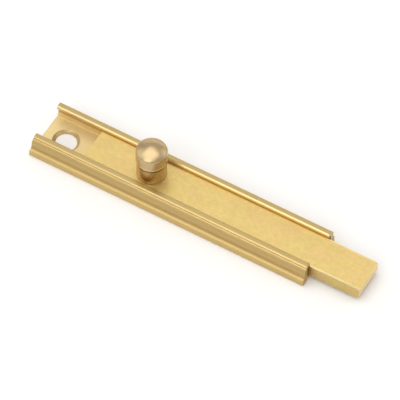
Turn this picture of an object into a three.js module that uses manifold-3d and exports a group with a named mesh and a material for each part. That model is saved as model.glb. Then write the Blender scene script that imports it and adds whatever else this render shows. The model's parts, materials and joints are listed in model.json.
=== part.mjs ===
// Surface slide bolt in brass. An extruded channel with in-turned lips screws flat to a door or a
// cabinet. A flat bar slides inside it, worked by a round domed knob that stands up between the lips.
// Millimetres. X runs along the bolt towards its tip, Y across it and Z up from the back face.
// The origin is the middle of the channel's back face.

import * as THREE from 'three';
import { mergeVertices } from 'three/addons/utils/BufferGeometryUtils.js';
import Module from 'manifold-3d';

// Channel: one brass extrusion, the same section from end to end.
const channelLength = 100;
const baseWidth = 20.2;
const baseThickness = 1.1;
const flangeHeight = 2.6;
const flangeEdgeRadius = 0.12;
const wallOuterWidth = 18.3;
const wallFootRadius = 0.8;
const wallTop = 5.95;
const bandTop = 7.0;
const bandTopWidth = 16.9;
const lipOuterWidth = 16.3;
const lipTop = 7.85;
const lipOuterChamfer = 0.35;
const lipInnerChamfer = 0.45;
const lipOpening = 12.1;
const lipUnderside = 6.25;
const cavityWidth = 14.7;
const sawCutLean = 0.8; // how far the left-hand end leans in from the back face to the lips
const sawCutDepth = 10; // how much is thrown away beyond the cut

// Two countersunk fixing holes, in line on the channel's centre.
const screwSpacing = 84.6;
const screwHoleRadius = 3.5;
const countersinkRadius = 4.55;
const screwHoleLand = 0.1; // straight stretch left below the countersink

// Bar: flat, as wide as the channel inside, with a narrower nose that comes out between the lips.
const barLength = 99.8;
const barThickness = 4.9;
const barWidth = 14.4;
const noseWidth = 12.2;
const noseLength = 19.5;
const barEdgeChamfer = 0.2;
const tipLeadIn = 1.0; // chamfer under the tip that guides it into the keep
const throwLength = 17.5;
const runningGap = 0.1;

// Knob: a collar standing on the bar, and a domed cap screwed down on it by a stud.
const knobX = -10.55;
const collarRadius = 4.85;
const collarHeight = 7.0;
const collarEdgeRound = 0.4;
const capRadius = 5.1;
const capStraightHeight = 4.1; // up to where the crown's edge starts to turn in
const capEdgeRound = 0.35;
const crownRadius = 8.5;
const crownEdgeRadius = 1.0;
const knobBoreRadius = 2.05;
const capBoreDepth = 4.6;
const studRadius = 2.0;
const studEndChamfer = 0.3;
const studTopGap = 0.5;
const stopFootGap = 0.25; // the stud's foot stays this far above the back face

// Slot in the channel's base where the stud's foot runs; its two ends stop the bar.
const stopSlotWidth = 4.3;
const stopSlotEndGap = 0.1;

// Bow spring of flat strip, in a pocket milled in the bar's underside.
const springX = 21.8;
const springLength = 23;
const springWidth = 4.2;
const springStrip = 0.4;
const springRise = 1.3;
const springFloorGap = 0.05;
const pocketLength = 25;
const pocketWidth = 5;
const pocketDepth = 1.75;

const roundSteps = 48;
const cornerSteps = 4;
const crownEdgeSteps = 6;
const crownSteps = 5;
const springSteps = 24;
const mergeDistance = 1e-4; // vertices closer than this are one vertex
const cutOvershoot = 2; // cutting tools run this far past the face they cut

const barLeft = channelLength / 2 + throwLength - barLength;
const barUnderside = baseThickness + runningGap;
const barTop = barUnderside + barThickness;
const capUnderside = barTop + collarHeight;

const wasm = await Module();
wasm.setup();

/** A closed three.js geometry as a solid that can be cut and joined. */
function toSolid(geometry) {
  const plain = geometry.clone();
  plain.deleteAttribute('normal');
  plain.deleteAttribute('uv');
  const merged = mergeVertices(plain, mergeDistance);
  return new wasm.Manifold(new wasm.Mesh({
    numProp: 3,
    vertProperties: new Float32Array(merged.attributes.position.array),
    triVerts: new Uint32Array(merged.index.array),
  }));
}

/** A solid back as a three.js geometry with flat faces. */
function toGeometry(solid) {
  const mesh = solid.getMesh();
  const indexed = new THREE.BufferGeometry();
  indexed.setAttribute('position', new THREE.BufferAttribute(mesh.vertProperties, 3));
  indexed.setIndex(new THREE.BufferAttribute(mesh.triVerts, 1));
  const geometry = indexed.toNonIndexed();
  geometry.computeVertexNormals();
  return geometry;
}

/** The first geometry with all the others cut out of it. */
function cutOut(geometry, cutters) {
  const cut = cutters.reduce((solid, cutter) => solid.subtract(toSolid(cutter)), toSolid(geometry));
  return toGeometry(cut);
}

/** Extrudes a shape drawn across the channel (Y to the right, Z up) along X, centred on X = 0. */
function extrudeAlongX(section, length) {
  const geometry = new THREE.ExtrudeGeometry(section, {
    depth: length,
    bevelEnabled: false,
    curveSegments: cornerSteps,
  });
  geometry.translate(0, 0, -length / 2);
  const toChannelAxes = new THREE.Matrix4().makeBasis(
    new THREE.Vector3(0, 1, 0),
    new THREE.Vector3(0, 0, 1),
    new THREE.Vector3(1, 0, 0),
  );
  return geometry.applyMatrix4(toChannelAxes);
}

/** Turns a profile of [radius, height] points about the Z axis. */
function turnProfile(points) {
  const geometry = new THREE.LatheGeometry(
    points.map(([radius, height]) => new THREE.Vector2(radius, height)),
    roundSteps,
  );
  return geometry.rotateX(Math.PI / 2);
}

/** Points along a quarter round or any other arc, angles in degrees. */
function arcPoints(centreX, centreY, radius, fromDegrees, toDegrees, steps) {
  return Array.from({ length: steps + 1 }, (_, step) => {
    const angle = THREE.MathUtils.degToRad(fromDegrees + ((toDegrees - fromDegrees) * step) / steps);
    return [centreX + radius * Math.cos(angle), centreY + radius * Math.sin(angle)];
  });
}

function metal(color, roughness) {
  return new THREE.MeshStandardMaterial({ color, roughness, metalness: 1 });
}

/** Half of the channel's section, from the middle of the back face round to the middle of the floor. */
function channelHalfSection() {
  const base = baseWidth / 2;
  const wall = wallOuterWidth / 2;
  const lip = lipOuterWidth / 2;
  const opening = lipOpening / 2;
  const cavity = cavityWidth / 2;
  const flangeEdge = arcPoints(
    base - flangeEdgeRadius, flangeHeight - flangeEdgeRadius, flangeEdgeRadius, 0, 90, cornerSteps,
  );
  const wallFoot = arcPoints(
    wall + wallFootRadius, flangeHeight + wallFootRadius, wallFootRadius, 270, 180, cornerSteps,
  );
  return [
    [base, 0],
    ...flangeEdge,
    ...wallFoot,
    [wall, wallTop],
    [bandTopWidth / 2, bandTop],
    [lip, bandTop],
    [lip, lipTop - lipOuterChamfer],
    [lip - lipOuterChamfer, lipTop],
    [opening + lipInnerChamfer, lipTop],
    [opening, lipTop - lipInnerChamfer],
    [opening, lipUnderside],
    [cavity, lipUnderside],
    [cavity, baseThickness],
  ];
}

function channelSection() {
  const right = channelHalfSection();
  const left = right.map(([across, up]) => [-across, up]).reverse();
  return new THREE.Shape([...right, ...left].map(([across, up]) => new THREE.Vector2(across, up)));
}

/** Screw hole cutter: a straight land, then a countersink that opens upwards. */
function screwHoleCutter(x) {
  const cone = countersinkRadius - screwHoleRadius;
  const slope = cone / (baseThickness - screwHoleLand);
  const profile = [
    [0, -cutOvershoot],
    [screwHoleRadius, -cutOvershoot],
    [screwHoleRadius, screwHoleLand],
    [countersinkRadius + slope * cutOvershoot, baseThickness + cutOvershoot],
    [0, baseThickness + cutOvershoot],
  ];
  return turnProfile(profile).translate(x, 0, 0);
}

/** Round-ended slot through the channel's base, as long as the throw and the stud's foot. */
function stopSlotCutter() {
  const radius = stopSlotWidth / 2;
  const travel = throwLength + 2 * (stopSlotEndGap + studRadius - radius);
  const outline = new THREE.Shape();
  outline.absarc(travel / 2, 0, radius, -Math.PI / 2, Math.PI / 2);
  outline.absarc(-travel / 2, 0, radius, Math.PI / 2, Math.PI * 1.5);
  const geometry = new THREE.ExtrudeGeometry(outline, {
    depth: baseThickness + 2 * cutOvershoot,
    bevelEnabled: false,
    curveSegments: roundSteps / 4,
  });
  return geometry.translate(knobX - throwLength / 2, 0, -cutOvershoot);
}

/** Wedge that leaves the left-hand end leaning in by sawCutLean at the lips. */
function sawCutCutter() {
  const lean = Math.atan2(sawCutLean, lipTop);
  const geometry = new THREE.BoxGeometry(sawCutDepth, baseWidth * 2, lipTop * 4);
  geometry.translate(-sawCutDepth / 2, 0, 0);
  geometry.rotateY(lean);
  return geometry.translate(-channelLength / 2, 0, 0);
}

function makeChannel() {
  const blank = extrudeAlongX(channelSection(), channelLength);
  const geometry = cutOut(blank, [
    sawCutCutter(),
    stopSlotCutter(),
    screwHoleCutter(-screwSpacing / 2),
    screwHoleCutter(screwSpacing / 2),
  ]);
  return new THREE.Mesh(geometry, metal(0xd8b46e, 0.34));
}

/** Plan of the bar, drawn from its left-hand end, with the shoulders of the nose. */
function barOutline() {
  const half = barWidth / 2;
  const nose = noseWidth / 2;
  const shoulder = barLength - noseLength;
  const rightEdge = [[0, -half], [shoulder, -half], [shoulder, -nose], [barLength, -nose]];
  const leftEdge = rightEdge.map(([x, y]) => [x, -y]).reverse();
  return new THREE.Shape([...rightEdge, ...leftEdge].map(([x, y]) => new THREE.Vector2(x, y)));
}

/** Three-sided bar across the tip that takes off its lower edge. */
function leadInCutter() {
  const section = new THREE.Shape([
    new THREE.Vector2(-tipLeadIn, 0),
    new THREE.Vector2(tipLeadIn, -2 * tipLeadIn),
    new THREE.Vector2(tipLeadIn, 2 * tipLeadIn),
  ]);
  const geometry = new THREE.ExtrudeGeometry(section, { depth: barWidth, bevelEnabled: false });
  geometry.translate(0, 0, -barWidth / 2);
  geometry.rotateX(Math.PI / 2);
  return geometry.translate(barLeft + barLength, 0, barUnderside);
}

function makeBar() {
  const blank = new THREE.ExtrudeGeometry(barOutline(), {
    depth: barThickness - 2 * barEdgeChamfer,
    bevelEnabled: true,
    bevelSegments: 1,
    bevelSize: barEdgeChamfer,
    bevelThickness: barEdgeChamfer,
    bevelOffset: -barEdgeChamfer,
  });
  blank.translate(barLeft, 0, barUnderside + barEdgeChamfer);
  const studHole = new THREE.CylinderGeometry(knobBoreRadius, knobBoreRadius, barThickness * 2, roundSteps);
  studHole.rotateX(Math.PI / 2).translate(knobX, 0, barUnderside + barThickness / 2);
  const pocket = new THREE.BoxGeometry(pocketLength, pocketWidth, pocketDepth * 2);
  pocket.translate(springX, 0, barUnderside);
  return new THREE.Mesh(cutOut(blank, [leadInCutter(), studHole, pocket]), metal(0xe8c878, 0.38));
}

/** Bow spring: a strip bent to an arc whose middle rubs on the channel's floor. */
function makeSpring() {
  const halfChord = (springLength - springStrip) / 2;
  const radius = (halfChord ** 2 + springRise ** 2) / (2 * springRise);
  const halfAngle = THREE.MathUtils.radToDeg(Math.asin(halfChord / radius));
  const outer = arcPoints(0, radius, radius, 270 - halfAngle, 270 + halfAngle, springSteps);
  const inner = arcPoints(0, radius, radius - springStrip, 270 + halfAngle, 270 - halfAngle, springSteps);
  const section = new THREE.Shape([...outer, ...inner].map(([x, y]) => new THREE.Vector2(x, y)));
  const geometry = new THREE.ExtrudeGeometry(section, { depth: springWidth, bevelEnabled: false });
  geometry.translate(0, 0, -springWidth / 2);
  geometry.rotateX(Math.PI / 2);
  const spring = new THREE.Mesh(geometry, metal(0xb98350, 0.3));
  spring.position.set(springX, 0, baseThickness + springFloorGap);
  return spring;
}

function makeCollar() {
  const profile = [
    [knobBoreRadius, 0],
    [collarRadius - collarEdgeRound, 0],
    [collarRadius, collarEdgeRound],
    [collarRadius, collarHeight - collarEdgeRound],
    [collarRadius - collarEdgeRound, collarHeight],
    [knobBoreRadius, collarHeight],
    [knobBoreRadius, 0],
  ];
  const collar = new THREE.Mesh(turnProfile(profile), metal(0xc08a4c, 0.22));
  collar.position.set(knobX, 0, barTop);
  return collar;
}

/** Cap: straight sides, a rounded edge and a low crown that runs on smoothly from that edge. */
function makeCap() {
  const lowerEdge = arcPoints(capRadius - capEdgeRound, capEdgeRound, capEdgeRound, 270, 360, cornerSteps);
  const edgeCentre = capRadius - crownEdgeRadius;
  const crownDrop = Math.sqrt((crownRadius - crownEdgeRadius) ** 2 - edgeCentre ** 2);
  const crownCentre = capStraightHeight - crownDrop;
  const turnover = THREE.MathUtils.radToDeg(Math.atan2(crownDrop, edgeCentre));
  const crownEdge = arcPoints(edgeCentre, capStraightHeight, crownEdgeRadius, 0, turnover, crownEdgeSteps);
  const crown = arcPoints(0, crownCentre, crownRadius, turnover, 90, crownSteps);
  const profile = [
    [0, capBoreDepth],
    [knobBoreRadius, capBoreDepth],
    [knobBoreRadius, 0],
    ...lowerEdge,
    ...crownEdge,
    ...crown.slice(1, -1),
    [0, crownCentre + crownRadius],
  ];
  const cap = new THREE.Mesh(turnProfile(profile), metal(0xc79a5c, 0.22));
  cap.position.set(knobX, 0, capUnderside);
  return cap;
}

/** Stud: screwed into bar and cap, with its plain foot in the stop slot. */
function makeStud() {
  const height = capUnderside + capBoreDepth - studTopGap - stopFootGap;
  const profile = [
    [0, 0],
    [studRadius - studEndChamfer, 0],
    [studRadius, studEndChamfer],
    [studRadius, height - studEndChamfer],
    [studRadius - studEndChamfer, height],
    [0, height],
  ];
  const stud = new THREE.Mesh(turnProfile(profile), metal(0xb0b2b4, 0.35));
  stud.position.set(knobX, 0, stopFootGap);
  return stud;
}

function named(name, mesh) {
  mesh.name = name;
  return mesh;
}

const knob = new THREE.Group();
knob.add(named('knob_collar', makeCollar()));
knob.add(named('knob_cap', makeCap()));
knob.add(named('knob_stud', makeStud()));

const slidingBolt = new THREE.Group();
slidingBolt.add(named('bolt_bar', makeBar()));
slidingBolt.add(named('friction_spring', makeSpring()));
slidingBolt.add(knob);

const barrelBolt = new THREE.Group();
barrelBolt.add(named('channel', makeChannel()));
barrelBolt.add(slidingBolt);

export default barrelBolt;
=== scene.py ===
import json
import math

import bmesh
import bpy
from mathutils import Matrix, Vector


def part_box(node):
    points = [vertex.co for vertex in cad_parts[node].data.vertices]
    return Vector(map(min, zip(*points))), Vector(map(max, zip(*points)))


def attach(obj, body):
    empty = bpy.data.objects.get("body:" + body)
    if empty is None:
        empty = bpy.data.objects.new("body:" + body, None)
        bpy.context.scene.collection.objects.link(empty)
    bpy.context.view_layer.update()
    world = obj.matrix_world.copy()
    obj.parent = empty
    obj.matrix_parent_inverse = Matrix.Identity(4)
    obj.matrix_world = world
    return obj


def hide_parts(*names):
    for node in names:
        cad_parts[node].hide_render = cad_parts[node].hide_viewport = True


bl_info = {
    "name": "Brass Slide Bolt",
    "version": (1, 0, 0),
    "blender": (4, 5, 0),
    "location": "3D View > Sidebar > Slide Bolt",
    "description": "A surface slide bolt in brass: lipped channel, flat bar and domed knob",
    "category": "Add Mesh",
}

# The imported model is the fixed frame. X runs along the bolt, Y across it, Z up from its back face.
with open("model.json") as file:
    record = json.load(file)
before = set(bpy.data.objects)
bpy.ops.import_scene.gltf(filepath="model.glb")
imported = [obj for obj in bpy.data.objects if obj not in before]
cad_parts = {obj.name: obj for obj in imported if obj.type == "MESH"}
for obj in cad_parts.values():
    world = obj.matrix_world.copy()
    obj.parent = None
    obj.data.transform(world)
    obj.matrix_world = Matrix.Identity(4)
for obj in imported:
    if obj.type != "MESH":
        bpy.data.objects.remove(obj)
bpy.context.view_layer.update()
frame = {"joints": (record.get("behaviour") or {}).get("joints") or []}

MM = 0.001

channel_low, channel_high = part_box("channel")
bar_low, bar_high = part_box("bolt_bar")
cap_low, cap_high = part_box("knob_cap")
collar_low, collar_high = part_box("knob_collar")
stud_low, stud_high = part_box("knob_stud")
spring_low, spring_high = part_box("friction_spring")


# ---------------------------------------------------------------------------------------------
# What a user would change
# ---------------------------------------------------------------------------------------------

def length(name, description, metres):
    return bpy.props.FloatProperty(
        name=name, description=description, default=metres, min=0.0, unit="LENGTH", precision=5,
    )


def share(name, description, value):
    return bpy.props.FloatProperty(
        name=name, description=description, default=value, min=0.0, max=1.0, subtype="FACTOR",
    )


def colour(name, description, value):
    return bpy.props.FloatVectorProperty(
        name=name, description=description, default=value, size=3, min=0.0, max=1.0, subtype="COLOR",
    )


class ChannelSizes(bpy.types.PropertyGroup):
    """The extruded section, from the back face up."""

    base_thickness: length("Base", "Thickness of the channel's base", 1.1 * MM)
    flange_height: length("Flange height", "Height of the flange along the base", 2.6 * MM)
    wall_outer_width: length("Wall width", "Width over the upright walls", 18.3 * MM)
    wall_top: length("Wall top", "Height where the wall meets the sloping band", 5.95 * MM)
    band_top: length("Band top", "Height where the band meets the lip", 7.0 * MM)
    band_top_width: length("Band width", "Width over the top of the bands", 16.9 * MM)
    lip_outer_width: length("Lip width", "Width over the lips", 16.3 * MM)
    lip_opening: length("Lip opening", "Clear width between the lips", 12.1 * MM)
    lip_underside: length("Lip underside", "Height of the lips' underside", 6.25 * MM)
    cavity_width: length("Cavity width", "Clear width inside the channel", 14.7 * MM)
    saw_lean: length("Saw lean", "How far the sawn end leans in at the lips", 0.8 * MM)
    screw_spacing: length("Screw spacing", "Distance between the two screw holes", 84.6 * MM)
    screw_radius: length("Screw hole", "Radius of the screw hole", 3.5 * MM)
    screw_land: length("Screw land", "Straight stretch under the countersink", 0.1 * MM)
    sink_radius: length("Countersink", "Radius of the countersink at the floor", 4.55 * MM)
    slot_radius: length("Stop slot", "Half the width of the stop slot", 2.15 * MM)
    slot_clearance: length("Slot clearance", "Gap between the stop and the slot's end", 0.1 * MM)


class BarSizes(bpy.types.PropertyGroup):
    """The sliding bar."""

    nose_width: length("Nose width", "Width of the nose that comes out of the channel", 12.2 * MM)
    nose_length: length("Nose length", "Length of the narrow nose", 19.5 * MM)
    lead_in: length("Lead-in", "Chamfer under the tip", 1.0 * MM)
    nose_chamfer: length("Nose chamfer", "Small chamfer on the nose's top edges", 0.42 * MM)
    edge_round: length("Edge round", "Rounding of the other edges", 0.2 * MM)
    stud_hole: length("Stud hole", "Radius of the hole for the knob's stud", 2.05 * MM)
    pocket_length: length("Pocket length", "Length of the spring's pocket", 25 * MM)
    pocket_width: length("Pocket width", "Width of the spring's pocket", 5 * MM)
    pocket_depth: length("Pocket depth", "Depth of the spring's pocket", 1.75 * MM)


class KnobSizes(bpy.types.PropertyGroup):
    """Collar, cap and stud."""

    bore_radius: length("Bore", "Radius of the bore in collar and cap", 2.05 * MM)
    bore_depth: length("Bore depth", "Depth of the bore in the cap", 4.6 * MM)
    cap_edge: length("Cap edge", "Rounding of the cap's lower edge", 0.35 * MM)
    cap_straight: length("Cap side", "Height of the cap's straight side", 4.1 * MM)
    crown_radius: length("Crown", "Radius of the low crown on top of the cap", 8.5 * MM)
    crown_edge: length("Crown edge", "Rounding between the cap's side and its crown", 1 * MM)
    collar_edge: length("Collar edge", "Rounding of the collar's edges", 0.4 * MM)
    stud_chamfer: length("Stud chamfer", "Chamfer on the stud's ends", 0.3 * MM)
    strip_thickness: length("Spring strip", "Thickness of the spring's strip", 0.4 * MM)


class BrassColours(bpy.types.PropertyGroup):
    """Metal colours."""

    bar: colour("Bar brass", "Bright yellow brass of the bar", (0.76, 0.56, 0.215))
    channel: colour("Channel brass", "Extruded brass of the channel", (0.68, 0.50, 0.205))
    knob: colour("Knob brass", "Turned brass of the knob", (0.62, 0.46, 0.25))
    # Pale brass for rubbed edges, also used for painted highlights and painted light: the lip and nose
    # edges, the bar's end, the deep inside of the channel and the ring round the cap's lower edge.
    wear_and_painted_light: colour("Worn edges", "Pale brass where edges are rubbed bright", (0.94, 0.77, 0.42))
    # Brown of handled brass, also used for painted shade: the channel's corners, its sawn end and its walls
    # under the lips, a line along the bar under the lips, and the collar.
    tarnish_and_shade: colour("Tarnish", "Brown of brass that has been handled", (0.42, 0.25, 0.09))
    bronze: colour("Spring bronze", "Bronze of the spring's strip", (0.55, 0.30, 0.14))
    steel: colour("Stud steel", "Steel of the stud", (0.48, 0.48, 0.47))
    oil: colour("Oil", "Brown trace of oil on the stud", (0.20, 0.17, 0.13))
    table: colour("Table", "White table top", (0.93, 0.925, 0.92))
    room: colour("Room", "Warm white of the even light", (1.0, 0.99, 0.97))


class StudioSettings(bpy.types.PropertyGroup):
    """Camera and light."""

    lens: bpy.props.FloatProperty(name="Lens", description="Focal length in millimetres", default=320.64)
    distance: length("Distance", "From the camera to the point it looks at", 1.12657)
    azimuth: bpy.props.FloatProperty(
        name="Azimuth", description="Camera's turn round the bolt", default=math.radians(29.19),
        subtype="ANGLE",
    )
    elevation: bpy.props.FloatProperty(
        name="Elevation", description="Camera's height above the horizon", default=math.radians(54.104),
        subtype="ANGLE",
    )
    roll: bpy.props.FloatProperty(
        name="Roll", description="Camera's turn about its own axis", default=math.radians(1.192),
        subtype="ANGLE",
    )
    aim: bpy.props.FloatVectorProperty(
        name="Aim", description="Point the camera looks at", default=(5.705 * MM, 2.553 * MM, -0.401 * MM),
        subtype="TRANSLATION", precision=5,
    )
    room_light: share("Room light", "Brightness of the even light from all round", 0.56)


# ---------------------------------------------------------------------------------------------
# Shader maths
# ---------------------------------------------------------------------------------------------

class Value:
    """A shader socket that can be added, multiplied and so on, each time through a Math node."""

    def __init__(self, finish, socket):
        self.finish = finish
        self.socket = socket

    def maths(self, operation, first, second):
        """The result of one Math node."""
        node = self.finish.node("ShaderNodeMath", {"operation": operation}, {0: first, 1: second})
        return Value(self.finish, node.outputs[0])

    def __add__(self, other):
        return self.maths("ADD", self, other)

    __radd__ = __add__

    def __sub__(self, other):
        return self.maths("SUBTRACT", self, other)

    def __rsub__(self, other):
        return self.maths("SUBTRACT", other, self)

    def __mul__(self, other):
        return self.maths("MULTIPLY", self, other)

    __rmul__ = __mul__

    def __pow__(self, other):
        return self.maths("POWER", self, other)

    def __abs__(self):
        return self.maths("ABSOLUTE", self, 0.0)

    def rises(self, low, high):
        """0 below low, 1 above high, and a smooth step between them."""
        settings = {"interpolation_type": "SMOOTHSTEP", "clamp": True}
        node = self.finish.node("ShaderNodeMapRange", settings, {0: self, 1: low, 2: high, 3: 0.0, 4: 1.0})
        return Value(self.finish, node.outputs[0])


class Finish:
    """One material: its nodes, its object coordinates and its shader."""

    def __init__(self, name, base_colour, roughness, metallic=1.0):
        self.material = bpy.data.materials.new(name)
        self.material.use_nodes = True
        self.nodes = self.material.node_tree.nodes
        self.links = self.material.node_tree.links
        self.shader = self.nodes["Principled BSDF"]
        self.shader.inputs["Metallic"].default_value = metallic
        self.colour = (*base_colour, 1.0)
        self.roughness = roughness
        self.place = self.node("ShaderNodeTexCoord").outputs["Object"]

    def node(self, kind, settings=None, sockets=None):
        """A node of a kind, its settings first and then the values or links of its sockets."""
        node = self.nodes.new(kind)
        for key, value in (settings or {}).items():
            setattr(node, key, value)
        for key, value in (sockets or {}).items():
            self.feed(node.inputs[key], value)
        return node

    def feed(self, socket, value):
        """Sets a socket to a plain value, or links it."""
        if isinstance(value, Value):
            self.links.new(value.socket, socket)
        elif isinstance(value, bpy.types.NodeSocket):
            self.links.new(value, socket)
        else:
            socket.default_value = value

    def axis(self, letter):
        """The X, Y or Z of the place on the piece, in metres."""
        node = self.node("ShaderNodeSeparateXYZ", None, {0: self.place})
        return Value(self, node.outputs[letter])

    def stretched(self, scale):
        """Object coordinates scaled along each axis, so that a pattern can run along the metal."""
        node = self.node("ShaderNodeMapping", None, {"Vector": self.place, "Scale": scale})
        return node.outputs["Vector"]

    def noise(self, scale, detail=2.0, rough=0.5, twist=0.0):
        """Noise from 0 to 1. Scale is how many bumps go in a metre along X, Y and Z."""
        sockets = {"Vector": self.stretched(scale), "Scale": 1.0, "Detail": detail, "Roughness": rough,
                   "Distortion": twist}
        node = self.node("ShaderNodeTexNoise", None, sockets)
        return Value(self, node.outputs[0])

    def mix(self, factor, first, second):
        """A colour between two colours."""
        settings = {"data_type": "RGBA", "blend_type": "MIX"}
        node = self.node("ShaderNodeMix", settings, {0: factor, 6: first, 7: second})
        return node.outputs[2]

    def shade(self, colour_socket, factor):
        """A colour multiplied by a value."""
        grey = self.node("ShaderNodeCombineColor", None, {0: factor, 1: factor, 2: factor}).outputs[0]
        settings = {"data_type": "RGBA", "blend_type": "MULTIPLY"}
        node = self.node("ShaderNodeMix", settings, {0: 1.0, 6: colour_socket, 7: grey})
        return node.outputs[2]

    def bump(self, height, distance):
        """Relief on the surface, distance deep where height goes from 0 to 1."""
        node = self.node("ShaderNodeBump", None, {"Strength": 1.0, "Distance": distance, "Height": height})
        self.feed(self.shader.inputs["Normal"], node.outputs["Normal"])

    def coat(self, colour_socket, roughness):
        """Puts colour and roughness on the shader, and gives the finished material."""
        self.feed(self.shader.inputs["Base Color"], colour_socket)
        self.feed(self.shader.inputs["Roughness"], roughness)
        return self.material


def line_mask(finish, across, up, width):
    """1 on a line that runs along the bolt at +-across and up, and 0 further from it than width."""
    sideways = abs(finish.axis("Y")) - across
    upwards = finish.axis("Z") - up
    distance = (sideways * sideways + upwards * upwards) ** 0.5
    return 1 - distance.rises(0.3 * width, width)


def channel_sides(finish, sizes):
    """Masks of all that lies outside the lips, and of its upright part, the flange left out. Both are
    darkened with painted shade.
    """
    across = abs(finish.axis("Y"))
    lip = sizes.lip_outer_width / 2
    wall = sizes.wall_outer_width / 2
    beside = across.rises(lip + 0.35 * MM, lip + 0.75 * MM)
    upright = beside * (1 - across.rises(wall + 0.15 * MM, wall + 0.6 * MM))
    return beside, upright


def channel_inside(finish, sizes):
    """Masks of the upper inner walls under the lips, darkened with painted shade, and of all that lies deep
    inside, lightened with painted light.
    """
    across = abs(finish.axis("Y"))
    height = finish.axis("Z")
    cavity = sizes.cavity_width / 2
    shade_starts = 2.6 * MM
    shade_full = 4.2 * MM
    shaded = height.rises(shade_starts, shade_full)
    under_lips = 1 - height.rises(sizes.lip_underside, sizes.lip_underside + 0.2 * MM)
    within = 1 - across.rises(cavity + 0.1 * MM, cavity + 0.2 * MM)
    # Painted shade on the inner walls just under the lips.
    inner_wall = across.rises(cavity - 0.12 * MM, cavity - 0.02 * MM) * under_lips * within * shaded
    return inner_wall, within * (1 - shaded)


def sink_mask(finish, sizes):
    """1 in the two screw holes and their countersinks."""
    across = finish.axis("Y")
    along = abs(finish.axis("X")) - sizes.screw_spacing / 2
    from_centre = (along * along + across * across) ** 0.5
    return 1 - from_centre.rises(sizes.sink_radius - 0.1 * MM, sizes.sink_radius + 0.15 * MM)


def worn_and_highlit_lips(finish, sizes):
    """Top edges of the lips, rubbed bright and lit with a painted highlight, the inner ones most."""
    lip = sizes.lip_outer_width / 2
    opening = sizes.lip_opening / 2
    outer_edge = line_mask(finish, lip - 0.1 * MM, channel_high.z - 0.2 * MM, 0.5 * MM)
    inner_edge = line_mask(finish, opening + 0.15 * MM, channel_high.z - 0.25 * MM, 0.55 * MM)
    return 0.35 * outer_edge + inner_edge


def shaded_corners(finish, sizes):
    """Corners of the moulding darkened with painted shade, most of it under the lip."""
    wall = sizes.wall_outer_width / 2
    wall_foot = line_mask(finish, wall, sizes.flange_height, 0.7 * MM)
    wall_head = line_mask(finish, wall, sizes.wall_top, 0.45 * MM)
    lip_foot = line_mask(finish, sizes.lip_outer_width / 2, sizes.band_top, 0.4 * MM)
    return wall_foot + wall_head + 1.6 * lip_foot


def channel_brass(colours, sizes):
    """Extruded brass: drawing lines along the length, worn lips with painted highlights, rougher sides, and
    painted shade on the sides, the lip tops, the corners, the sawn end and the walls under the lips, with
    painted light deep inside.
    """
    finish = Finish("channel_brass", colours.channel, roughness=0.34)
    drawing_lines = finish.noise((60, 5200, 5200), detail=4, rough=0.6)
    cloud = finish.noise((260, 520, 520), detail=5, rough=0.62, twist=0.4)
    mottle = finish.noise((900, 1100, 1100), detail=3, rough=0.6)
    specks = finish.noise((2600, 2600, 2600), detail=2).rises(0.66, 0.78)
    beside, upright = channel_sides(finish, sizes)
    inner_wall, deep = channel_inside(finish, sizes)
    # Mask of the flat tops of the lips; they are darkened with painted shade.
    lip_top = finish.axis("Z").rises(channel_high.z - 0.14 * MM, channel_high.z - 0.04 * MM)
    # Painted shade: the sawn end face is made browner.
    sawn = abs(finish.axis("X")).rises(channel_high.x - 0.7 * MM, channel_high.x - 0.1 * MM)
    wear_and_painted_light = worn_and_highlit_lips(finish, sizes)
    # Painted shade along the corners, broken up by the cloud.
    corner_shade = shaded_corners(finish, sizes) * cloud.rises(0.2, 0.7)
    sink = sink_mask(finish, sizes)
    tone = 0.90 + 0.14 * drawing_lines + 0.16 * (cloud - 0.5) + 0.14 * (mottle - 0.5)
    # Painted shade: darker on the sides outside the lips, darker still on the upright walls, and darker on
    # the flat tops of the lips.
    tone = tone * (1 - 0.08 * beside - 0.08 * upright) * (1 - 0.26 * lip_top)
    brass = finish.shade(finish.colour, tone)
    # Worn lip edges with a painted highlight, kept off the flat lip tops.
    brass = finish.mix(0.8 * wear_and_painted_light * (1 - lip_top), brass, (*colours.wear_and_painted_light, 1.0))
    # Painted light: the deep inside of the channel is mixed towards pale brass.
    brass = finish.mix(0.6 * deep, brass, (*colours.wear_and_painted_light, 1.0))
    # Brown mix: painted shade in the corners, on the sawn end and on the walls under the lips, with brown
    # specks and brown in the countersinks.
    brown = 0.35 * corner_shade + 0.12 * specks + 0.35 * sawn * cloud.rises(0.3, 0.6)
    brown = brown + 0.75 * inner_wall + 0.7 * sink * cloud.rises(0.2, 0.6)
    brass = finish.mix(brown, brass, (*colours.tarnish_and_shade, 1.0))
    finish.bump(drawing_lines + 0.8 * cloud + 0.5 * mottle - 0.3 * specks, 0.012 * MM)
    finish.feed(finish.shader.inputs["Metallic"], 0.88 - 0.35 * deep)
    dullness = 0.16 * (cloud - 0.5) + 0.10 * (drawing_lines - 0.5) + 0.20 * deep + 0.08 * beside
    return finish.coat(brass, finish.roughness + dullness)


def stray_scratches(finish):
    """A few long thin scratches, broken up so that they start and stop."""
    wander = finish.noise((45, 420, 420), detail=1.5)
    lines = 1 - abs(wander - 0.5).rises(0.002, 0.006)
    return lines * finish.noise((150, 150, 150)).rises(0.56, 0.64)


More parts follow.
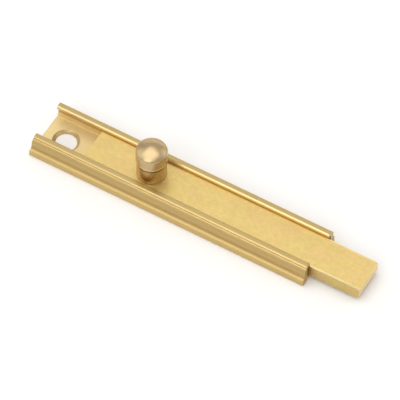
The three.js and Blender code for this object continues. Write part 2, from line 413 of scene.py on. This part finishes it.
def bar_places(finish, sizes):
    """Masks of the bar's flanks, which get painted shade, of a painted shadow line along its sides under
    the lips, and of the nose's top edges, worn with a painted highlight.
    """
    across = abs(finish.axis("Y"))
    height = finish.axis("Z")
    nose = sizes.nose_width / 2
    flank = across.rises(nose - 0.12 * MM, nose - 0.02 * MM)
    flank = flank * (1 - height.rises(bar_high.z - 0.5 * MM, bar_high.z - 0.3 * MM))
    covered = 1 - finish.axis("X").rises(channel_high.x - 1.5 * MM, channel_high.x - 0.5 * MM)
    # Painted shadow: a line along the bar's sides inside the channel, where the lips overhang it.
    lip_shadow_line = covered * across.rises(nose - 0.3 * MM, nose - 0.05 * MM)
    edge = line_mask(finish, nose - 0.2 * MM, bar_high.z - 0.2 * MM, 0.45 * MM)
    return flank, lip_shadow_line, edge * (1 - covered)


def bar_brass(colours, sizes):
    """Linished brass: short strokes along the bar, soft mottling and a few stray scratches."""
    finish = Finish("bar_brass", colours.bar, roughness=0.42, metallic=0.88)
    strokes = finish.noise((340, 4600, 4600), detail=4, rough=0.65)
    mottle = finish.noise((560, 760, 760), detail=4, rough=0.65, twist=0.6)
    dull = finish.noise((90, 160, 160), detail=3).rises(0.45, 0.75)
    tint = finish.noise((130, 210, 210), detail=3, rough=0.6).rises(0.35, 0.65)
    scratch = stray_scratches(finish)
    flank, lip_shadow_line, worn_and_highlit_edge = bar_places(finish, sizes)
    # The bar's end face, painted pale as a painted reflection of the white table.
    end = finish.axis("X").rises(bar_high.x - 0.12 * MM, bar_high.x - 0.02 * MM)
    red, green, blue = colours.bar
    greenish = (0.98 * red, 1.01 * green, 0.97 * blue, 1.0)
    pinkish = (1.01 * red, 0.99 * green, 1.05 * blue, 1.0)
    # Painted shade: the bar's flanks are made darker.
    tone = 0.86 + 0.22 * strokes + 0.40 * (mottle - 0.5) + 0.05 * scratch - 0.12 * flank
    brass = finish.shade(finish.mix(tint, greenish, pinkish), tone)
    # Painted shadow along the lips, and random dull patches, in brown.
    brass = finish.mix(0.10 * dull + 0.45 * lip_shadow_line, brass, (*colours.tarnish_and_shade, 1.0))
    # Nose edges worn bright with a painted highlight, and the end face with a painted reflection, mixed
    # towards pale brass.
    brass = finish.mix(0.9 * worn_and_highlit_edge + 0.5 * end, brass, (*colours.wear_and_painted_light, 1.0))
    finish.bump(strokes + 1.2 * mottle - 0.4 * scratch, 0.014 * MM)
    return finish.coat(brass, finish.roughness + 0.2 * (mottle - 0.5) - 0.06 * scratch)


NOWHERE = 1 * MM  # a band of painted shade or a rim highlight this far below a piece leaves no mark on it


def turned_brass(colours, name, roughness, tarnish_and_shade, shade_band, rim):
    """Turned brass with fine rings and hazy tarnish; the tarnish share is painted shade, and a band of
    painted shade and a pale ring of painted highlight go at given heights.
    """
    finish = Finish(name, colours.knob, roughness, metallic=0.92)
    rings = finish.noise((60, 60, 9000), detail=3, rough=0.6)
    haze = finish.noise((430, 430, 430), detail=5, rough=0.65, twist=0.5)
    pits = finish.noise((3400, 3400, 3400), detail=1).rises(0.70, 0.80)
    height = finish.axis("Z")
    in_shade_band = 1 - abs(height - shade_band).rises(0.3 * MM, 0.6 * MM)
    on_rim_highlight = 1 - abs(height - rim).rises(0.3 * MM, 0.5 * MM)
    brass = finish.shade(finish.colour, 0.88 + 0.10 * rings + 0.22 * (haze - 0.5))
    # Random tarnish, plus the piece's tarnish share, which is painted shade.
    stain = tarnish_and_shade + 0.30 * haze.rises(0.35, 0.8) + 0.25 * pits
    brass = finish.mix(stain, brass, (*colours.tarnish_and_shade, 1.0))
    # Painted highlight: a pale ring round the cap's lower edge.
    brass = finish.mix(0.85 * on_rim_highlight, brass, (*colours.wear_and_painted_light, 1.0))
    # Painted shade in a band just under the cap, on the collar's top.
    brass = finish.shade(brass, 1 - 0.55 * in_shade_band)
    finish.bump(rings + 1.4 * haze - 0.5 * pits, 0.008 * MM)
    return finish.coat(brass, finish.roughness + 0.20 * (haze - 0.4))


def rolled_bronze(colours):
    """Rolled strip: faint rolling lines along its length."""
    finish = Finish("rolled_bronze", colours.bronze, roughness=0.3)
    lines = finish.noise((80, 5000, 900), detail=3)
    stain = finish.noise((500, 500, 500), detail=3)
    bronze = finish.shade(finish.colour, 0.9 + 0.15 * lines)
    bronze = finish.mix(0.3 * stain.rises(0.5, 0.8), bronze, (*colours.tarnish_and_shade, 1.0))
    finish.bump(lines, 0.008 * MM)
    return finish.coat(bronze, finish.roughness + 0.2 * (stain - 0.5))


def turned_steel(colours):
    """Turned steel with tool rings and a trace of oil."""
    finish = Finish("turned_steel", colours.steel, roughness=0.34)
    rings = finish.noise((90, 90, 7000), detail=3)
    oil = finish.noise((400, 400, 400), detail=4)
    steel = finish.shade(finish.colour, 0.85 + 0.2 * rings)
    steel = finish.mix(0.2 * oil.rises(0.5, 0.75), steel, (*colours.oil, 1.0))
    finish.bump(rings, 0.008 * MM)
    return finish.coat(steel, finish.roughness + 0.2 * (oil - 0.5))


def table_paper(colours):
    """White table top, very slightly uneven."""
    finish = Finish("table_paper", colours.table, roughness=0.85, metallic=0.0)
    finish.shader.inputs["Specular IOR Level"].default_value = 0.2
    fibre = finish.noise((900, 900, 900), detail=2)
    return finish.coat(finish.shade(finish.colour, 0.995 + 0.01 * fibre), finish.roughness)


# ---------------------------------------------------------------------------------------------
# Mesh work
# ---------------------------------------------------------------------------------------------

MERGE = 0.0005 * MM  # points nearer than this are one point
ON_LINE = 0.01 * MM  # an edge nearer than this to a line lies on it
ROUND_STEPS = 96


def arc(centre, radius, start, end, steps):
    """Points along an arc about centre, (first, second) pairs, angles in degrees."""
    angles = [math.radians(start + (end - start) * step / steps) for step in range(steps + 1)]
    return [(centre[0] + radius * math.cos(a), centre[1] + radius * math.sin(a)) for a in angles]


def chain(bm, points):
    """Vertices at the points, with an edge between each and the next."""
    corners = [bm.verts.new(point) for point in points]
    edges = [bm.edges.new(pair) for pair in zip(corners, corners[1:])]
    return corners + edges


def swept_solid(half_outline, sweep):
    """A solid whose outline is mirrored across Y = 0 and swept along a vector."""
    bm = bmesh.new()
    half = chain(bm, half_outline)
    bmesh.ops.mirror(bm, geom=half, matrix=Matrix.Identity(4), merge_dist=MERGE, axis="Y")
    end_face = bmesh.ops.edgeloop_fill(bm, edges=bm.edges[:])["faces"]
    swept = bmesh.ops.extrude_face_region(bm, geom=end_face, use_keep_orig=True)["geom"]
    far_corners = [part for part in swept if isinstance(part, bmesh.types.BMVert)]
    bmesh.ops.translate(bm, verts=far_corners, vec=sweep)
    bmesh.ops.recalc_face_normals(bm, faces=bm.faces[:])
    return bm


def turned_solid(profile, centre_x):
    """A solid turned about an upright axis at centre_x, from (radius, height) points."""
    bm = bmesh.new()
    outline = chain(bm, [(centre_x + radius, 0, height) for radius, height in profile])
    bmesh.ops.spin(
        bm, geom=outline, cent=(centre_x, 0, 0), axis=(0, 0, 1), dvec=(0, 0, 0),
        angle=math.tau, steps=ROUND_STEPS, use_merge=True,
    )
    bmesh.ops.remove_doubles(bm, verts=bm.verts[:], dist=MERGE)
    bmesh.ops.recalc_face_normals(bm, faces=bm.faces[:])
    return bm


def edges_along_x(bm, across, up):
    """Edges that run along the bolt at +-across and up."""
    def is_on_line(vert):
        return abs(abs(vert.co.y) - across) < ON_LINE and abs(vert.co.z - up) < ON_LINE

    return [edge for edge in bm.edges if all(is_on_line(vert) for vert in edge.verts)]


def round_edges(bm, edges, radius, segments):
    """Rounds edges in a number of segments. One segment makes a chamfer."""
    if not edges:
        raise RuntimeError("there is no edge to round here")
    bmesh.ops.bevel(
        bm, geom=edges, offset=radius, offset_type="OFFSET", segments=segments, profile=0.5,
        affect="EDGES", material=-1, clamp_overlap=True,
    )


def place_object(name, bm):
    """Turns a closed bmesh into an object at the origin."""
    open_edges = [edge for edge in bm.edges if not edge.is_manifold]
    if open_edges:
        raise RuntimeError(f"{name} has {len(open_edges)} open edges")
    mesh = bpy.data.meshes.new(name)
    bm.to_mesh(mesh)
    bm.free()
    piece = bpy.data.objects.new(name, mesh)
    bpy.context.scene.collection.objects.link(piece)
    return piece


def cut_away(piece, cutters):
    """Cuts closed bmeshes out of a piece and keeps the result as its mesh."""
    tools = [place_object(f"cutter_{index}", cutter) for index, cutter in enumerate(cutters)]
    for tool in tools:
        cut = piece.modifiers.new("cut", "BOOLEAN")
        cut.operation = "DIFFERENCE"
        cut.solver = "EXACT"
        cut.object = tool
    evaluated = piece.evaluated_get(bpy.context.evaluated_depsgraph_get())
    carved = bpy.data.meshes.new_from_object(evaluated)
    piece.modifiers.clear()
    blank, piece.data = piece.data, carved
    bpy.data.meshes.remove(blank)
    for tool in tools:
        bpy.data.meshes.remove(tool.data)


def finish_piece(piece, body, node, material, edge_break):
    """Breaks the sharp edges, shades the piece, parents it to its CAD body and hides the CAD node it stands
    for.
    """
    piece.data.name = piece.name
    piece.data.materials.clear()
    piece.data.materials.append(material)
    piece.data.polygons.foreach_set("use_smooth", [True] * len(piece.data.polygons))
    broken = piece.modifiers.new("broken_edges", "BEVEL")
    broken.width = edge_break
    broken.segments = 2
    broken.limit_method = "ANGLE"
    broken.angle_limit = math.radians(35)
    broken.miter_outer = "MITER_ARC"
    piece.modifiers.new("even_shading", "WEIGHTED_NORMAL").keep_sharp = True
    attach(piece, body)
    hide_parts(node)


# ---------------------------------------------------------------------------------------------
# The pieces
# ---------------------------------------------------------------------------------------------

SAW_WASTE = 2 * MM  # how much is made beyond the open end, for the saw to take off
CUT_OVERSHOOT = 2 * MM  # how far a cutter runs past the face it cuts


def channel_section(sizes):
    """Half of the channel's section, from the middle of the back face round to its floor."""
    base = channel_high.y
    wall = sizes.wall_outer_width / 2
    lip = sizes.lip_outer_width / 2
    opening = sizes.lip_opening / 2
    cavity = sizes.cavity_width / 2
    return [
        (0, channel_low.z),
        (base, channel_low.z),
        (base, sizes.flange_height),
        (wall, sizes.flange_height),
        (wall, sizes.wall_top),
        (sizes.band_top_width / 2, sizes.band_top),
        (lip, sizes.band_top),
        (lip, channel_high.z),
        (opening, channel_high.z),
        (opening, sizes.lip_underside),
        (cavity, sizes.lip_underside),
        (cavity, sizes.base_thickness),
        (0, sizes.base_thickness),
    ]


def saw_end(bm, sizes):
    """Cuts the channel's open end with a saw that leaned in a little."""
    normal = Vector((-channel_high.z, 0, sizes.saw_lean)).normalized()
    cut = bmesh.ops.bisect_plane(
        bm, geom=bm.verts[:] + bm.edges[:] + bm.faces[:], plane_co=(channel_low.x, 0, 0),
        plane_no=normal, clear_outer=True,
    )
    rim = [part for part in cut["geom_cut"] if isinstance(part, bmesh.types.BMEdge)]
    bmesh.ops.edgeloop_fill(bm, edges=rim)
    bmesh.ops.recalc_face_normals(bm, faces=bm.faces[:])


def screw_cutter(sizes, x):
    """Screw hole with a countersink that opens upwards."""
    over = CUT_OVERSHOOT
    slope = (sizes.sink_radius - sizes.screw_radius) / (sizes.base_thickness - sizes.screw_land)
    top = sizes.base_thickness + over
    return turned_solid([
        (0, -over),
        (sizes.screw_radius, -over),
        (sizes.screw_radius, sizes.screw_land),
        (sizes.sink_radius + slope * over, top),
        (0, top),
    ], x)


def slot_cutter(sizes):
    """Round-ended slot in which the stud's foot travels."""
    over = CUT_OVERSHOOT
    travel = frame["joints"][0]["range_m"][0]
    stud_x = (stud_low.x + stud_high.x) / 2
    stud_radius = (stud_high.x - stud_low.x) / 2
    reach = stud_radius + sizes.slot_clearance - sizes.slot_radius
    front = arc((stud_x + reach, 0), sizes.slot_radius, start=0, end=90, steps=16)
    back = arc((stud_x + travel - reach, 0), sizes.slot_radius, start=90, end=180, steps=16)
    outline = [(x, y, -over) for x, y in front + back]
    return swept_solid(outline, (0, 0, sizes.base_thickness + 2 * over))


def channel_edges(sizes):
    """The section's corners, as across and up, with the radius and segments each is rounded to."""
    wall = sizes.wall_outer_width / 2
    lip = sizes.lip_outer_width / 2
    opening = sizes.lip_opening / 2
    cavity = sizes.cavity_width / 2
    return (
        (channel_high.y, channel_low.z, 0.15 * MM, 3),
        (channel_high.y, sizes.flange_height, 0.12 * MM, 3),
        (wall, sizes.flange_height, 0.8 * MM, 8),
        (wall, sizes.wall_top, 0.3 * MM, 3),
        (sizes.band_top_width / 2, sizes.band_top, 0.12 * MM, 2),
        (lip, sizes.band_top, 0.08 * MM, 2),
        (lip, channel_high.z, 0.35 * MM, 1),
        (opening, channel_high.z, 0.45 * MM, 1),
        (opening, sizes.lip_underside, 0.12 * MM, 2),
        (cavity, sizes.lip_underside, 0.15 * MM, 2),
        (cavity, sizes.base_thickness, 0.3 * MM, 3),
    )


def make_channel(sizes, colours):
    """The extrusion, sawn at its open end, with two screw holes and the stop slot."""
    left_end = channel_low.x - SAW_WASTE
    section = [(left_end, y, z) for y, z in channel_section(sizes)]
    bm = swept_solid(section, (channel_high.x - left_end, 0, 0))
    for across, up, radius, segments in channel_edges(sizes):
        round_edges(bm, edges_along_x(bm, across, up), radius, segments)
    saw_end(bm, sizes)
    piece = place_object("channel_extrusion", bm)
    cut_away(piece, [
        screw_cutter(sizes, -sizes.screw_spacing / 2),
        screw_cutter(sizes, sizes.screw_spacing / 2),
        slot_cutter(sizes),
    ])
    brass = channel_brass(colours, sizes)
    finish_piece(piece, "channel", "channel", brass, edge_break=0.06 * MM)


def bar_blank(sizes):
    """The bar's outline swept up, with a lead-in under the tip and chamfers along its top edges."""
    shoulder = bar_high.x - sizes.nose_length
    nose = sizes.nose_width / 2
    plan = [
        (bar_low.x, 0),
        (bar_low.x, bar_high.y),
        (shoulder, bar_high.y),
        (shoulder, nose),
        (bar_high.x, nose),
        (bar_high.x, 0),
    ]
    bm = swept_solid([(x, y, bar_low.z) for x, y in plan], (0, 0, bar_high.z - bar_low.z))
    under_tip = [
        edge for edge in bm.edges
        if all(abs(v.co.x - bar_high.x) < MERGE and abs(v.co.z - bar_low.z) < MERGE for v in edge.verts)
    ]
    round_edges(bm, under_tip, sizes.lead_in, segments=1)
    round_edges(bm, edges_along_x(bm, nose, bar_high.z), sizes.nose_chamfer, segments=1)
    round_edges(bm, edges_along_x(bm, bar_high.y, bar_high.z), sizes.edge_round, segments=1)
    return bm


def pocket_cutter(sizes):
    """Round-cornered pocket for the spring in the bar's underside."""
    size = (sizes.pocket_length, sizes.pocket_width, 2 * sizes.pocket_depth)
    middle = ((spring_low.x + spring_high.x) / 2, 0, bar_low.z)
    bm = bmesh.new()
    bmesh.ops.create_cube(bm, size=1)
    bmesh.ops.scale(bm, verts=bm.verts[:], vec=size)
    bmesh.ops.translate(bm, verts=bm.verts[:], vec=middle)
    upright = [edge for edge in bm.edges if abs(edge.verts[0].co.z - edge.verts[1].co.z) > MM]
    round_edges(bm, upright, 1.5 * MM, segments=6)
    return bm


def stud_hole_cutter(sizes):
    """Hole right through the bar for the knob's stud."""
    profile = [
        (0, 0),
        (sizes.stud_hole, 0),
        (sizes.stud_hole, 2 * bar_high.z),
        (0, 2 * bar_high.z),
    ]
    return turned_solid(profile, (stud_low.x + stud_high.x) / 2)


def make_bar(sizes, colours):
    """The flat bar with its nose, its stud hole and the spring's pocket."""
    piece = place_object("sliding_bar", bar_blank(sizes))
    cut_away(piece, [pocket_cutter(sizes), stud_hole_cutter(sizes)])
    brass = bar_brass(colours, sizes)
    finish_piece(piece, "bolt", "bolt_bar", brass, edge_break=0.08 * MM)


def make_collar(sizes, colours):
    """A plain ring with rounded edges that stands on the bar."""
    radius = (collar_high.x - collar_low.x) / 2
    edge = sizes.collar_edge
    profile = [
        (sizes.bore_radius, collar_low.z),
        *arc((radius - edge, collar_low.z + edge), edge, 270, 360, 6),
        *arc((radius - edge, collar_high.z - edge), edge, 0, 90, 6),
        (sizes.bore_radius, collar_high.z),
        (sizes.bore_radius, collar_low.z),
    ]
    piece = place_object("knob_lower_collar", turned_solid(profile, (collar_low.x + collar_high.x) / 2))
    # The collar's tarnish share is painted shade that makes it darker than the cap.
    brass = turned_brass(
        colours, "collar_brass", roughness=0.22, tarnish_and_shade=0.22,
        shade_band=collar_high.z - 0.5 * MM, rim=collar_low.z - NOWHERE,
    )
    finish_piece(piece, "bolt", "knob_collar", brass, edge_break=0.04 * MM)


def make_cap(sizes, colours):
    """Straight side, rounded edge and a low crown that runs on smoothly from that edge."""
    radius = (cap_high.x - cap_low.x) / 2
    edge = sizes.cap_edge
    bore_top = cap_low.z + sizes.bore_depth
    side_top = cap_low.z + sizes.cap_straight
    shoulder = radius - sizes.crown_edge
    drop = math.sqrt((sizes.crown_radius - sizes.crown_edge) ** 2 - shoulder ** 2)
    turnover = math.degrees(math.atan2(drop, shoulder))
    profile = [
        (0, bore_top),
        (sizes.bore_radius, bore_top),
        (sizes.bore_radius, cap_low.z),
        *arc((radius - edge, cap_low.z + edge), edge, 270, 360, 6),
        *arc((shoulder, side_top), sizes.crown_edge, 0, turnover, 12),
        *arc((0, side_top - drop), sizes.crown_radius, turnover, 90, 16)[1:],
    ]
    piece = place_object("knob_domed_cap", turned_solid(profile, (cap_low.x + cap_high.x) / 2))
    brass = turned_brass(
        colours, "cap_brass", roughness=0.27, tarnish_and_shade=0.0,
        shade_band=cap_low.z - NOWHERE, rim=cap_low.z + 0.25 * MM,
    )
    finish_piece(piece, "bolt", "knob_cap", brass, edge_break=0.04 * MM)


def make_stud(sizes, colours):
    """A plain rod, chamfered at both ends."""
    radius = (stud_high.x - stud_low.x) / 2
    edge = sizes.stud_chamfer
    profile = [
        (0, stud_low.z),
        (radius - edge, stud_low.z),
        (radius, stud_low.z + edge),
        (radius, stud_high.z - edge),
        (radius - edge, stud_high.z),
        (0, stud_high.z),
    ]
    piece = place_object("knob_fixing_stud", turned_solid(profile, (stud_low.x + stud_high.x) / 2))
    finish_piece(piece, "bolt", "knob_stud", turned_steel(colours), edge_break=0.03 * MM)


def make_spring(sizes, colours):
    """A strip bent to an arc: its middle is lowest and its two ends bear up on the pocket."""
    half_chord = (spring_high.x - spring_low.x) / 2
    rise = spring_high.z - spring_low.z - sizes.strip_thickness
    radius = (half_chord ** 2 + rise ** 2) / (2 * rise)
    half_angle = math.asin(half_chord / radius)
    middle_x = (spring_low.x + spring_high.x) / 2
    centre = Vector((middle_x, 0, spring_low.z + radius))
    bm = bmesh.new()
    end_x = middle_x - radius * math.sin(half_angle)
    end_z = centre.z - radius * math.cos(half_angle)
    end_edge = chain(bm, [(end_x, spring_low.y, end_z), (end_x, spring_high.y, end_z)])
    bmesh.ops.spin(bm, geom=end_edge, cent=centre, axis=(0, -1, 0), angle=2 * half_angle, steps=32)
    bmesh.ops.recalc_face_normals(bm, faces=bm.faces[:])
    # The sheet is open and has no outside yet, so its faces are turned to look down.
    if bm.faces[0].normal.z > 0:
        bmesh.ops.reverse_faces(bm, faces=bm.faces[:])
    bmesh.ops.solidify(bm, geom=bm.faces[:], thickness=sizes.strip_thickness)
    piece = place_object("bow_spring", bm)
    bronze = rolled_bronze(colours)
    finish_piece(piece, "bolt", "friction_spring", bronze, edge_break=0.05 * MM)


# ---------------------------------------------------------------------------------------------
# Table, light and camera
# ---------------------------------------------------------------------------------------------

TABLE_REACH = 4.0  # from the middle of the table to its edge, in metres
TABLE_GAP = 0.02 * MM  # keeps the table's face off the channel's


def make_table(colours):
    """A white table that reaches past the edges of the view."""
    bm = bmesh.new()
    bmesh.ops.create_grid(bm, x_segments=1, y_segments=1, size=TABLE_REACH)
    mesh = bpy.data.meshes.new("table_top")
    bm.to_mesh(mesh)
    bm.free()
    mesh.materials.append(table_paper(colours))
    table = bpy.data.objects.new("table_top", mesh)
    table.location.z = channel_low.z - TABLE_GAP
    bpy.context.scene.collection.objects.link(table)


def soft_box(name, azimuth, elevation, distance, width, height, brightness):
    """A rectangular light that faces the bolt. Azimuth 0 is on the -Y side, and grows towards +X."""
    light = bpy.data.lights.new(name, "AREA")
    light.shape = "RECTANGLE"
    light.size = width
    light.size_y = height
    light.energy = brightness * math.pi * width * height
    turn, lift = math.radians(azimuth), math.radians(elevation)
    towards = Vector((math.sin(turn) * math.cos(lift), -math.cos(turn) * math.cos(lift), math.sin(lift)))
    lamp = bpy.data.objects.new(name, light)
    lamp.location = towards * distance
    lamp.rotation_euler = towards.to_track_quat("Z", "Y").to_euler()
    lamp.visible_camera = False
    bpy.context.scene.collection.objects.link(lamp)


def make_light(studio, colours):
    """Five soft boxes in an evenly lit room."""
    world = bpy.data.worlds.new("studio_room")
    world.use_nodes = True
    room = world.node_tree.nodes["Background"]
    room.inputs["Color"].default_value = (*colours.room, 1.0)
    room.inputs["Strength"].default_value = studio.room_light
    bpy.context.scene.world = world
    soft_box("overhead", azimuth=255, elevation=84, distance=1.5, width=1.5, height=1.5, brightness=1.45)
    soft_box("left_window", azimuth=285, elevation=34, distance=1.7, width=1.4, height=1.2, brightness=0.6)
    soft_box("front_window", azimuth=-3, elevation=43, distance=1.5, width=1.05, height=1.2, brightness=1.5)
    soft_box("back_strip", azimuth=200, elevation=16, distance=1.9, width=2.2, height=0.5, brightness=0.7)
    soft_box("back_fill", azimuth=142, elevation=32, distance=1.8, width=1.1, height=0.9, brightness=0.7)


def make_camera(studio):
    """A long lens that looks down on the bolt."""
    turn, lift = studio.azimuth, studio.elevation
    forward = Vector((-math.sin(turn) * math.cos(lift), math.cos(turn) * math.cos(lift), -math.sin(lift)))
    level = Vector((math.cos(turn), math.sin(turn), 0))
    turned = Matrix.Rotation(-studio.roll, 3, forward)
    right = turned @ level
    up = turned @ level.cross(forward)
    data = bpy.data.cameras.new("studio_camera")
    data.sensor_width = 36.0
    data.lens = studio.lens
    data.clip_start = 0.05
    data.clip_end = 20.0
    camera = bpy.data.objects.new("studio_camera", data)
    axes = Matrix((right, up, -forward)).transposed().to_4x4()
    camera.matrix_world = Matrix.Translation(Vector(studio.aim) - forward * studio.distance) @ axes
    bpy.context.scene.collection.objects.link(camera)
    bpy.context.scene.camera = camera


# ---------------------------------------------------------------------------------------------
# Operators, panel and main
# ---------------------------------------------------------------------------------------------

class SLIDEBOLT_OT_stage(bpy.types.Operator):
    """Sets the white table, the soft lights and the camera"""

    bl_idname = "slidebolt.stage"
    bl_label = "Stage"

    def execute(self, context):
        scene = context.scene
        scene.view_settings.view_transform = "Standard"
        make_table(scene.slidebolt_colours)
        make_light(scene.slidebolt_studio, scene.slidebolt_colours)
        make_camera(scene.slidebolt_studio)
        return {"FINISHED"}


class SLIDEBOLT_OT_channel(bpy.types.Operator):
    """Makes the extruded channel with its lips, screw holes and stop slot"""

    bl_idname = "slidebolt.channel"
    bl_label = "Channel"

    def execute(self, context):
        make_channel(context.scene.slidebolt_channel, context.scene.slidebolt_colours)
        return {"FINISHED"}


class SLIDEBOLT_OT_bar(bpy.types.Operator):
    """Makes the sliding bar with its nose, stud hole and spring pocket"""

    bl_idname = "slidebolt.bar"
    bl_label = "Bar"

    def execute(self, context):
        make_bar(context.scene.slidebolt_bar, context.scene.slidebolt_colours)
        return {"FINISHED"}


class SLIDEBOLT_OT_knob(bpy.types.Operator):
    """Makes the knob: collar, domed cap and the stud that holds them"""

    bl_idname = "slidebolt.knob"
    bl_label = "Knob"

    def execute(self, context):
        sizes, colours = context.scene.slidebolt_knob, context.scene.slidebolt_colours
        make_collar(sizes, colours)
        make_cap(sizes, colours)
        make_stud(sizes, colours)
        return {"FINISHED"}


class SLIDEBOLT_OT_spring(bpy.types.Operator):
    """Makes the bow spring under the bar"""

    bl_idname = "slidebolt.spring"
    bl_label = "Spring"

    def execute(self, context):
        make_spring(context.scene.slidebolt_knob, context.scene.slidebolt_colours)
        return {"FINISHED"}


class SLIDEBOLT_PT_panel(bpy.types.Panel):
    """Lists the pieces of the slide bolt"""

    bl_label = "Slide Bolt"
    bl_idname = "SLIDEBOLT_PT_panel"
    bl_space_type = "VIEW_3D"
    bl_region_type = "UI"
    bl_category = "Slide Bolt"

    def draw(self, context):
        for operator in OPERATORS:
            self.layout.operator(operator.bl_idname)


OPERATORS = (
    SLIDEBOLT_OT_stage,
    SLIDEBOLT_OT_channel,
    SLIDEBOLT_OT_bar,
    SLIDEBOLT_OT_knob,
    SLIDEBOLT_OT_spring,
)
GROUPS = {
    "slidebolt_channel": ChannelSizes,
    "slidebolt_bar": BarSizes,
    "slidebolt_knob": KnobSizes,
    "slidebolt_colours": BrassColours,
    "slidebolt_studio": StudioSettings,
}


def register():
    for group in GROUPS.values():
        bpy.utils.register_class(group)
    for operator in OPERATORS:
        bpy.utils.register_class(operator)
    bpy.utils.register_class(SLIDEBOLT_PT_panel)
    for name, group in GROUPS.items():
        setattr(bpy.types.Scene, name, bpy.props.PointerProperty(type=group))


def unregister():
    for name in GROUPS:
        delattr(bpy.types.Scene, name)
    bpy.utils.unregister_class(SLIDEBOLT_PT_panel)
    for operator in reversed(OPERATORS):
        bpy.utils.unregister_class(operator)
    for group in reversed(GROUPS.values()):
        bpy.utils.unregister_class(group)


def main():
    register()
    for operator in OPERATORS:
        category, name = operator.bl_idname.split(".")
        getattr(getattr(bpy.ops, category), name)()


if __name__ == "__main__":
    main()
